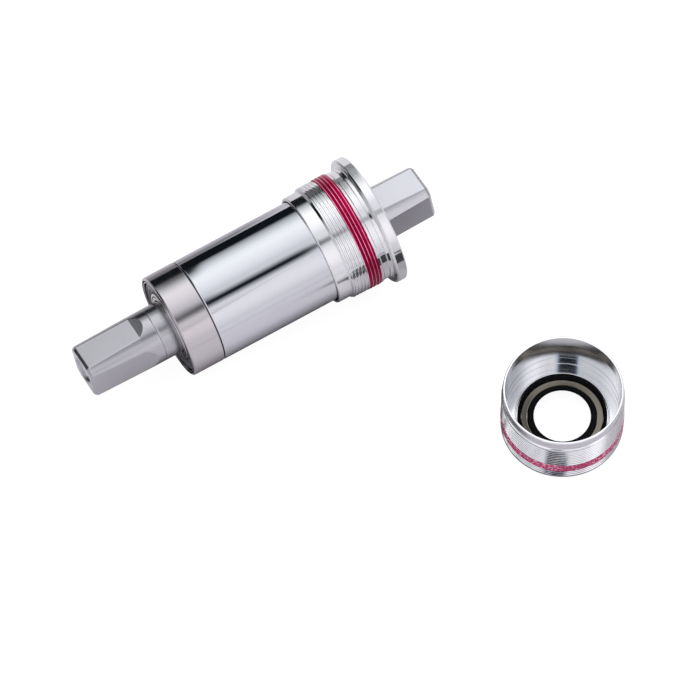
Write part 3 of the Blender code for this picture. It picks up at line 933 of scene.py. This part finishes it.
def seal_lip(prefix, matrix, body, base, top, bore, upright, rubber):
    h = top - base
    lip = [(base, bore + 0.5, 0.05), (base, 9.9, 0.05),
           (base + h * 0.6, 9.88, 0.1), (base + h * 0.95, 9.45, 0.12),
           (base + h * 0.55, 9.1, 0.1), (base + h * 0.55, 8.85, 0.1),
           (base + h, bore + 0.28, 0.08), (base + h, bore, 0.06),
           (base + h * 0.6, bore + 0.12, 0.06)]
    ob = lathe(prefix + "_seal_inner_lip", outline(lip, tight=0.05), matrix,
               even(224), upright=upright)
    wear(ob, rubber, body, "seal_rubber", prefix + "_seal_lip")


seal_set("drive_cup", CART, "cartridge", 4.0, 4.9, False, (M_RUBBER, M_CASE))
seal_lip("drive_cup", CART, "cartridge", 4.0, 4.9, 8.3, False, M_RUBBER)


# ---------------------------------------------------------------------------
# Left cup: right-hand thread, plain lip, straight bore, flat floor, socket
# ---------------------------------------------------------------------------
H = 20.5
L_START, L_TURNS = 16.75, 14.8


def left_thread(a, theta):
    return thread_drop(a, theta + 2.4, L_START, L_TURNS, 1.0,
                       fade_in=0.25, fade_out=0.6)


def left_shape(a, r, t):
    on = (a < 17.0) & (r > 16.6)
    drop = left_thread(a, t)
    r2 = np.where(on, np.minimum(r, THREAD_R - drop), r)
    wall = (a < 2.05) & (r < 15.0) & (r > 13.5)
    r2 = np.where(wall, r2 + 1.4 * in_notch(t), r2)
    return a, r2


left = [(0.0, 14.42, 0.10), (0.0, 16.68, 0.14), (0.72, 17.4, 0.12),
        (16.9, 17.4, 0.12), (17.15, 17.05, 0.10), (20.3, 17.05, 0.08),
        (20.5, 16.88, 0.06), (20.5, 16.44, 0.05), (20.38, 16.37, 0.03),
        (16.4, 16.2, 0.40), (9.06, 16.2, 0.0), (9.0, 16.15, 0.0),
        (8.94, 16.2, 0.0), (5.3, 16.2, 0.15), (5.3, 13.42, 0.06),
        (5.42, 13.3, 0.05), (5.42, 13.12, 0.05), (5.3, 13.0, 0.04),
        (3.4, 13.0, 0.0), (3.4, 9.4, 0.15), (2.4, 9.4, 0.15), (2.4, 13.3, 0.0), (2.02, 13.6, 0.0),
        (2.0, 14.0, 0.0), (0.42, 14.0, 0.10)]
prof = refine(outline(left, tight=0.07), 0.2, 17.0, 16.5, PITCH / 22)
ob = lathe("left_cup_turned", prof, CUP, notch_angles(), left_shape,
           upright=True, sharp=35.0)
wear(ob, M_CUPZ, "left_cup", "plated_cup", "left_cup")

band_on_thread("left_cup_thread_lock_coat", 4.1, 7.6, left_thread, CUP,
               even(420), M_PINK, "left_cup", "thread_lock",
               "left_cup_thread_lock_band", True, 23, 0.50, 0.30, 0.10, 17.4)
seal_set("left_cup", CUP, "left_cup", 3.7, 5.2, True, (M_RUBBER, M_CASEZ))
seal_lip("left_cup", CUP, "left_cup", 3.7, 4.5, 8.05, True, M_RUBBER)


# ---------------------------------------------------------------------------
# Floor, light and camera
# ---------------------------------------------------------------------------
scene = bpy.context.scene
scene.view_settings.view_transform = "Standard"


AXIS_Z = ORIGIN.z - 0.035 * AXIS.z          # height of the axis mid-sleeve


def at(a):
    """A studio angle about X (0 in front, 90 overhead) as a 0..1 position."""
    return (a + 90.0) / 360.0


LENS = Vector((-0.290, -0.363, 0.8885)).normalized()


def lens_distance(n, vec):
    """How far a direction is from the tall dark camera opening (1 = its edge)."""
    level = Vector((-LENS.y, LENS.x, 0.0)).normalized()
    dot = n.add("ShaderNodeVectorMath", operation="DOT_PRODUCT")
    n.set(dot, 0, vec)
    dot.inputs[1].default_value = level
    sep = n.add("ShaderNodeSeparateXYZ")
    n.set(sep, 0, vec)
    el = n.math("MULTIPLY", n.math("ARCSINE", sep.outputs[2]), 180.0 / math.pi)
    du = n.math("DIVIDE", dot.outputs["Value"], math.sin(math.radians(9.6)))
    dv = n.math("DIVIDE", n.math("SUBTRACT", el, 59.5), 18.0)
    # only on the camera's side of straight up
    fore = n.add("ShaderNodeVectorMath", operation="DOT_PRODUCT")
    n.set(fore, 0, vec)
    fore.inputs[1].default_value = Vector((LENS.x, LENS.y, 0.0)).normalized()
    away = n.span(fore.outputs["Value"], 0.17, 0.21, 9.0, 0.0)
    return n.math("ADD", away, n.math("SQRT", n.math(
        "ADD", n.math("MULTIPLY", du, du), n.math("MULTIPLY", dv, dv))))


FRONT = [(at(-4), 0.80), (at(3), 0.88), (at(8), 0.93), (at(12), 0.88),
         (at(19), 0.97), (at(29), 1.09), (at(38), 1.13), (at(48), 1.10),
         (at(57), 0.98), (at(64), 0.90), (at(80), 0.90), (at(88), 0.94),
         (at(94), 1.07), (at(103), 1.20), (at(113), 1.29), (at(124), 1.35),
         (at(134), 1.27), (at(147), 0.88), (at(154), 0.60), (at(158), 0.40),
         (at(162), 0.10), (at(166), 0.02), (at(180), 0.015)]


def dark_gap(n, deg, wide, depth):
    """The slot the camera looks through: soft edges, nearly black inside."""
    off = n.math("ABSOLUTE", n.math("SUBTRACT", deg, 69.4))
    if isinstance(wide, float):
        span = wide - 2.0
    else:
        span = n.math("SUBTRACT", wide, 2.0)
    gap = n.math("SUBTRACT", 1.0, n.math("DIVIDE", n.math(
        "SUBTRACT", off, 2.0), span), clamp=True)
    return n.math("MULTIPLY", gap, depth)


def studio():
    """Plain white to the eye; a dim grey room for what the metal reflects
    past the softbox tent; matt surfaces are lit from above and behind."""
    world = bpy.data.worlds.new("studio")
    scene.world = world
    world.use_nodes = True
    n = Nodes(world.node_tree)
    out = n.add("ShaderNodeOutputWorld")
    tc = n.add("ShaderNodeTexCoord")
    sep = n.add("ShaderNodeSeparateXYZ")
    n.set(sep, 0, tc.outputs["Generated"])
    x, y, z = sep.outputs
    ang = n.math("ARCTAN2", z, n.math("MULTIPLY", y, -1.0))
    deg = n.math("MULTIPLY", ang, 180.0 / math.pi)
    pos = n.math("FRACT", n.math("ADD", n.math(
        "DIVIDE", n.math("ADD", deg, 90.0), 360.0), 1.0))
    room = n.curve_of(pos, [
        (at(-90), 0.5), (at(0), 0.62), (at(60), 0.62), (at(120), 0.70),
        (at(160), 0.45), (at(175), 0.30), (at(190), 0.30), (at(270), 0.5)])
    # what lights matt surfaces comes mostly from above and behind
    soft = n.curve_of(pos, [
        (at(-90), 0.15), (at(0), 0.18), (at(40), 0.35), (at(75), 0.85),
        (at(100), 1.5), (at(140), 1.5), (at(165), 0.7), (at(180), 0.2),
        (at(270), 0.15)])
    soft = n.math("MULTIPLY", soft, n.span(x, -0.7, 0.7, 0.6, 1.4))
    # beyond the tent's front window: a white wall with the dark lens
    dot = n.add("ShaderNodeVectorMath", operation="DOT_PRODUCT")
    n.set(dot, 0, tc.outputs["Generated"])
    dot.inputs[1].default_value = LENS
    near = dot.outputs["Value"]
    wall = n.span(near, math.cos(math.radians(34)), math.cos(math.radians(26)))
    front = n.math("MULTIPLY", n.curve_of(pos, FRONT), n.math(
        "SUBTRACT", 1.0, dark_gap(n, deg, 12.0, n.span(x, 0.02, 0.07,
                                                       0.0, 0.93))))
    room = n.math("ADD", n.math("MULTIPLY", room,
                                n.math("SUBTRACT", 1.0, wall)),
                  n.math("MULTIPLY", wall, front))
    hole = n.span(lens_distance(n, tc.outputs["Generated"]),
                  0.80, 1.12, 1.0, 0.0)
    hole = n.math("MULTIPLY", hole, n.span(near, 0.75, 0.82))
    room = n.math("MULTIPLY", room, n.math("SUBTRACT", 1.0, n.math(
        "MULTIPLY", hole, 0.985)))
    room_tint = n.mix(hole, (0.97, 0.96, 1.0), (0.25, 0.55, 1.0))
    glow = n.add("ShaderNodeBackground",
                 inputs={"Color": room_tint, "Strength": room})
    plain = n.add("ShaderNodeBackground",
                  inputs={"Color": (1.0, 1.0, 1.0, 1.0), "Strength": 1.0})
    matt = n.add("ShaderNodeBackground",
                 inputs={"Color": (1.0, 0.99, 1.0, 1.0), "Strength": soft})
    lp = n.add("ShaderNodeLightPath")
    kind = n.add("ShaderNodeMixShader")
    n.set(kind, 0, lp.outputs["Is Diffuse Ray"])
    n.set(kind, 1, glow.outputs[0])
    n.set(kind, 2, matt.outputs[0])
    pick = n.add("ShaderNodeMixShader")
    n.set(pick, 0, lp.outputs["Is Camera Ray"])
    n.set(pick, 1, kind.outputs[0])
    n.set(pick, 2, plain.outputs[0])
    n.set(out, "Surface", pick.outputs[0])


studio()


def studio_only(ob):
    """Shows in polished metal, and nowhere else."""
    ob.visible_camera = False
    ob.visible_diffuse = False
    ob.visible_shadow = False
    ob.visible_transmission = False


def tent():
    """The softbox tent: a long half cylinder round the cartridge's axis.

    Its glow changes round the axis: front card, the dark gap the camera looks
    through, overhead softbox, and a dark edge at the back.  It fades to the
    room's grey past both ends.
    """
    radius = 0.30
    angles = [-3.1 + k * (167.0 + 3.1) / 62 for k in range(63)]
    xs = [-0.60 + k * 0.05 for k in range(25)]
    verts = [(x, -radius * math.cos(math.radians(a)),
              radius * math.sin(math.radians(a))) for x in xs for a in angles]
    na = len(angles)
    faces = [(i * na + j, i * na + j + 1, (i + 1) * na + j + 1,
              (i + 1) * na + j)
             for i in range(len(xs) - 1) for j in range(na - 1)]
    me = bpy.data.meshes.new("softbox_tent")
    me.from_pydata(verts, [], faces)
    ob = bpy.data.objects.new("softbox_tent", me)
    scene.collection.objects.link(ob)
    ob.location = (0.0, ORIGIN.y, AXIS_Z)
    studio_only(ob)
    m = bpy.data.materials.new("softbox_tent")
    m.use_nodes = True
    n = Nodes(m.node_tree)
    out = n.add("ShaderNodeOutputMaterial")
    tc = n.add("ShaderNodeTexCoord")
    sep = n.add("ShaderNodeSeparateXYZ")
    n.set(sep, 0, tc.outputs["Object"])
    x, y, z = sep.outputs
    deg = n.math("MULTIPLY", n.math("ARCTAN2", z,
                                    n.math("MULTIPLY", y, -1.0)),
                 180.0 / math.pi)
    mm = n.math("MULTIPLY", x, 1000.0)
    # where along the cartridge the reflection of this point shows
    part = n.math("ADD", n.math("SUBTRACT", mm, 51.0), n.math(
        "MULTIPLY", n.math("SINE", n.math("MULTIPLY", deg, math.pi / 180.0)),
        20.4))
    # over the bearing ring the back edge comes a little further forward
    deg = n.math("ADD", deg, n.math("MULTIPLY", n.math("MULTIPLY", n.span(
        part, -26.0, -30.0, 0.0, 14.0), n.span(part, -44.0, -41.0)),
        n.span(deg, 118.0, 140.0)))
    pos = n.math("DIVIDE", n.math("ADD", deg, 90.0), 360.0)
    level = n.curve_of(pos, FRONT)
    # what the flange sees, past the end of the dark card
    end = n.curve_of(pos, [
        (at(-4), 0.45), (at(8), 0.45), (at(13), 0.70), (at(19), 0.90),
        (at(29), 0.96), (at(38), 1.02), (at(48), 1.08), (at(57), 1.04),
        (at(80), 0.92), (at(88), 0.95), (at(94), 1.07), (at(103), 1.22),
        (at(112), 1.20), (at(120), 1.00), (at(128), 0.52), (at(136), 0.16),
        (at(140), 0.01), (at(149), 0.01), (at(152), 0.08), (at(158), 0.36),
        (at(164), 0.58), (at(180), 0.58)])
    at_end = n.math("MULTIPLY", n.span(part, 25.2, 25.9),
                    n.span(part, 31.5, 30.5))
    level = n.math("ADD", n.math("MULTIPLY", level, n.math(
        "SUBTRACT", 1.0, at_end)), n.math("MULTIPLY", end, at_end))
    # behind the right taper the softbox reaches further down
    level = n.math("MULTIPLY", level, n.math("ADD", 1.0, n.math(
        "MULTIPLY", n.span(part, 30.5, 32.0), n.span(deg, 125.0, 142.0,
                                                     0.08, 0.38))))
    # and the back left corner is in shade
    level = n.math("MULTIPLY", level, n.math("SUBTRACT", 1.0, n.math(
        "MULTIPLY", n.span(mm, -60.0, -110.0, 0.0, 0.8),
        n.span(deg, 112.0, 132.0))))
    # the gap: wide and dark over the sleeve, closing towards the flange
    wide = n.math("ADD", n.span(part, 3.0, 9.0, 11.5, 7.0),
                  n.math("ADD", n.span(part, -27.0, -30.0, 0.0, 4.0),
                         n.span(part, 12.0, 24.0, 0.0, -1.5)))
    depth = n.math("MULTIPLY", n.span(part, 3.0, 9.0, 0.975, 0.62),
                   n.span(part, 12.0, 24.0, 1.0, 0.66))
    depth = n.math("MULTIPLY", depth, n.span(mm, 190.0, 110.0))
    depth = n.math("MULTIPLY", depth, n.span(mm, -60.0, 0.0))
    dark = dark_gap(n, deg, wide, depth)
    # a window in the front, towards the camera, as the loose cup sees it
    cup = CUP.translation + Vector((0.0, 0.0, 0.010)) - ob.location
    sight = n.add("ShaderNodeVectorMath", operation="SUBTRACT")
    n.set(sight, 0, tc.outputs["Object"])
    sight.inputs[1].default_value = cup
    unit = n.add("ShaderNodeVectorMath", operation="NORMALIZE")
    n.set(unit, 0, sight.outputs[0])
    window = n.span(lens_distance(n, unit.outputs[0]), 1.14, 1.22, 1.0, 0.0)
    window = n.math("MULTIPLY", window, n.math("LESS_THAN", deg, 90.0))
    level = n.math("MULTIPLY", level, n.math("SUBTRACT", 1.0, dark))
    side = n.math("DIVIDE", n.math("ADD", mm, 600.0), 1200.0)

    def along(v):
        return (v + 600.0) / 1200.0

    level = n.math("MULTIPLY", level, n.curve_of(side, [
        (along(-600), 0.50), (along(-400), 0.90), (along(-220), 1.20),
        (along(-120), 1.08), (along(-60), 0.92), (along(-7), 0.99),
        (along(30), 1.0), (along(44), 1.00), (along(54), 0.98),
        (along(72), 1.0), (along(114), 1.25), (along(150), 1.15),
        (along(200), 0.60), (along(300), 0.45), (along(600), 0.42)]))
    tint = n.ramp(pos, [(at(0), (0.95, 0.93, 1.0)),
                        (at(40), (0.985, 0.965, 1.0)),
                        (at(66), (0.93, 0.94, 1.0)),
                        (at(90), (0.94, 0.945, 1.0)),
                        (at(120), (0.985, 0.985, 1.0)),
                        (at(160), (0.92, 0.97, 1.0)),
                        (at(180), (0.6, 0.8, 1.0))])
    tint = n.mix(n.span(dark, 0.8, 1.0), tint, (0.45, 0.65, 1.0))
    em = n.add("ShaderNodeEmission")
    n.set(em, "Color", tint)
    n.set(em, "Strength", level)
    clear = n.add("ShaderNodeBsdfTransparent")
    both = n.add("ShaderNodeMixShader")
    n.set(both, 0, window)
    n.set(both, 1, em.outputs[0])
    n.set(both, 2, clear.outputs[0])
    n.set(out, "Surface", both.outputs[0])
    me.materials.append(m)


tent()


def card(name, corners, level, colour=(1.0, 1.0, 1.0)):
    """A studio card or flag that only shows in polished metal."""
    me = bpy.data.meshes.new(name)
    me.from_pydata([tuple(c) for c in corners], [],
                   [tuple(range(len(corners)))])
    ob = bpy.data.objects.new(name, me)
    scene.collection.objects.link(ob)
    studio_only(ob)
    m = bpy.data.materials.new(name)
    m.use_nodes = True
    n = Nodes(m.node_tree)
    out = n.add("ShaderNodeOutputMaterial")
    em = n.add("ShaderNodeEmission",
               inputs={"Color": (*colour, 1.0), "Strength": level})
    n.set(out, "Surface", em.outputs[0])
    me.materials.append(m)
    return ob


_c = CUP.translation
_r = 0.0079
# a glowing disc on the floor inside the loose cup, seen only in reflections: painted light where
# the floor under the cup is in shade
card("glow_disc_in_the_cup", [(_c.x + _r * math.cos(k * TAU / 24),
                           _c.y + _r * math.sin(k * TAU / 24), 0.0001)
                          for k in range(24)], 0.62, (0.98, 0.96, 1.0))
_y = CUP.translation.y + 0.0190
# a dark card right beside the loose cup, seen only in reflections: a painted dark reflection of
# shade between the cup and the cartridge
card("dark_reflection_card_by_the_cup", [(0.021, _y, 0.001), (0.062, _y, 0.001),
                         (0.062, _y, 0.0190), (0.021, _y, 0.0190)], 0.055,
     (0.9, 0.95, 1.0))
_y = ORIGIN.y + 0.16
card("flag_behind", [(-0.6, _y, -0.0001), (0.046, _y, -0.0001),
                     (0.046, _y, 0.072), (-0.6, _y, 0.072)], 0.012,
     (0.6, 0.8, 1.0))


def floor():
    me = bpy.data.meshes.new("floor")
    e = 3.0
    me.from_pydata([(-e, -e, 0), (e, -e, 0), (e, e, 0), (-e, e, 0)], [],
                   [(0, 1, 2, 3)])
    ob = bpy.data.objects.new("floor", me)
    scene.collection.objects.link(ob)
    ob.location = (0, 0, -0.00005)
    m = bpy.data.materials.new("floor_paper")
    m.use_nodes = True
    n = Nodes(m.node_tree)
    out = n.add("ShaderNodeOutputMaterial")
    # as reflections and bounced light see it, the floor is painted darker close to objects: a
    # painted contact shadow from ambient occlusion
    ao = n.add("ShaderNodeAmbientOcclusion", samples=8)
    ao.inputs["Distance"].default_value = 0.026
    near = n.span(ao.outputs["AO"], 0.30, 0.92)
    tone = n.mix(near, (0.20, 0.197, 0.21), (0.83, 0.815, 0.86))
    tc = n.add("ShaderNodeTexCoord")
    sep = n.add("ShaderNodeSeparateXYZ")
    n.set(sep, 0, tc.outputs["Object"])
    # behind the two tapers the paper catches more light
    out_x = n.math("ADD", n.span(sep.outputs[0], 0.026, 0.036),
                   n.span(sep.outputs[0], -0.036, -0.044))
    out_x = n.math("MULTIPLY", out_x, n.span(
        sep.outputs[1], ORIGIN.y - 0.004, ORIGIN.y + 0.004))
    tone = n.mix(out_x, tone, (0.93, 0.92, 0.95))
    # the paper falls into shade behind the cartridge
    back = n.span(sep.outputs[1], ORIGIN.y + 0.012, ORIGIN.y + 0.080)
    back = n.math("MULTIPLY", back, n.span(sep.outputs[0], 0.005, 0.024,
                                           0.66, 0.12))
    # and between the loose cup and the flange
    mid = Vector((0.044, -0.004, 0.0))
    far = n.add("ShaderNodeVectorMath", operation="DISTANCE")
    n.set(far, 0, tc.outputs["Object"])
    far.inputs[1].default_value = mid
    between = n.span(far.outputs["Value"], 0.008, 0.030, 0.50, 0.0)
    # and on the loose cup's left
    side = CUP.translation + Vector((-0.0205, 0.004, 0.0))
    near_cup = n.add("ShaderNodeVectorMath", operation="DISTANCE")
    n.set(near_cup, 0, tc.outputs["Object"])
    near_cup.inputs[1].default_value = side
    left = n.span(near_cup.outputs["Value"], 0.004, 0.013, 0.80, 0.0)
    shade = n.math("SUBTRACT", 1.0, n.math("MAXIMUM", left, n.math(
        "MAXIMUM", back, between)))
    tone = n.mix(1.0, tone, shade, "MULTIPLY")
    diff = n.add("ShaderNodeBsdfDiffuse", inputs={"Color": tone})
    glow = n.add("ShaderNodeEmission",
                 inputs={"Color": (1.0, 1.0, 1.0, 1.0), "Strength": 0.92})
    both = n.add("ShaderNodeAddShader")
    pale = n.add("ShaderNodeBsdfDiffuse",
                 inputs={"Color": (0.22, 0.22, 0.22, 1.0)})
    n.set(both, 0, glow.outputs[0])
    n.set(both, 1, pale.outputs[0])
    lp = n.add("ShaderNodeLightPath")
    pick = n.add("ShaderNodeMixShader")
    n.set(pick, 0, lp.outputs["Is Camera Ray"])
    n.set(pick, 1, diff.outputs[0])
    n.set(pick, 2, both.outputs[0])
    n.set(out, "Surface", pick.outputs[0])
    me.materials.append(m)


floor()


def camera():
    data = bpy.data.cameras.new("camera")
    ob = bpy.data.objects.new("camera", data)
    scene.collection.objects.link(ob)
    data.sensor_width = 36.0
    data.lens = 452.8
    data.clip_start, data.clip_end = 0.1, 20.0
    right = Vector((0.8696, -0.4938, 0.0)).normalized()
    back = Vector((-0.2266, -0.3990, 0.8885)).normalized()
    right = (right - back * right.dot(back)).normalized()
    up = back.cross(right)
    ob.matrix_world = Matrix((
        (right.x, up.x, back.x, 0.0), (right.y, up.y, back.y, 0.0),
        (right.z, up.z, back.z, 0.0), (0.0, 0.0, 0.0, 1.0)))
    ob.location = Vector((0.00728, 0.0115, 0.0)) + back * 2.5
    scene.camera = ob


camera()
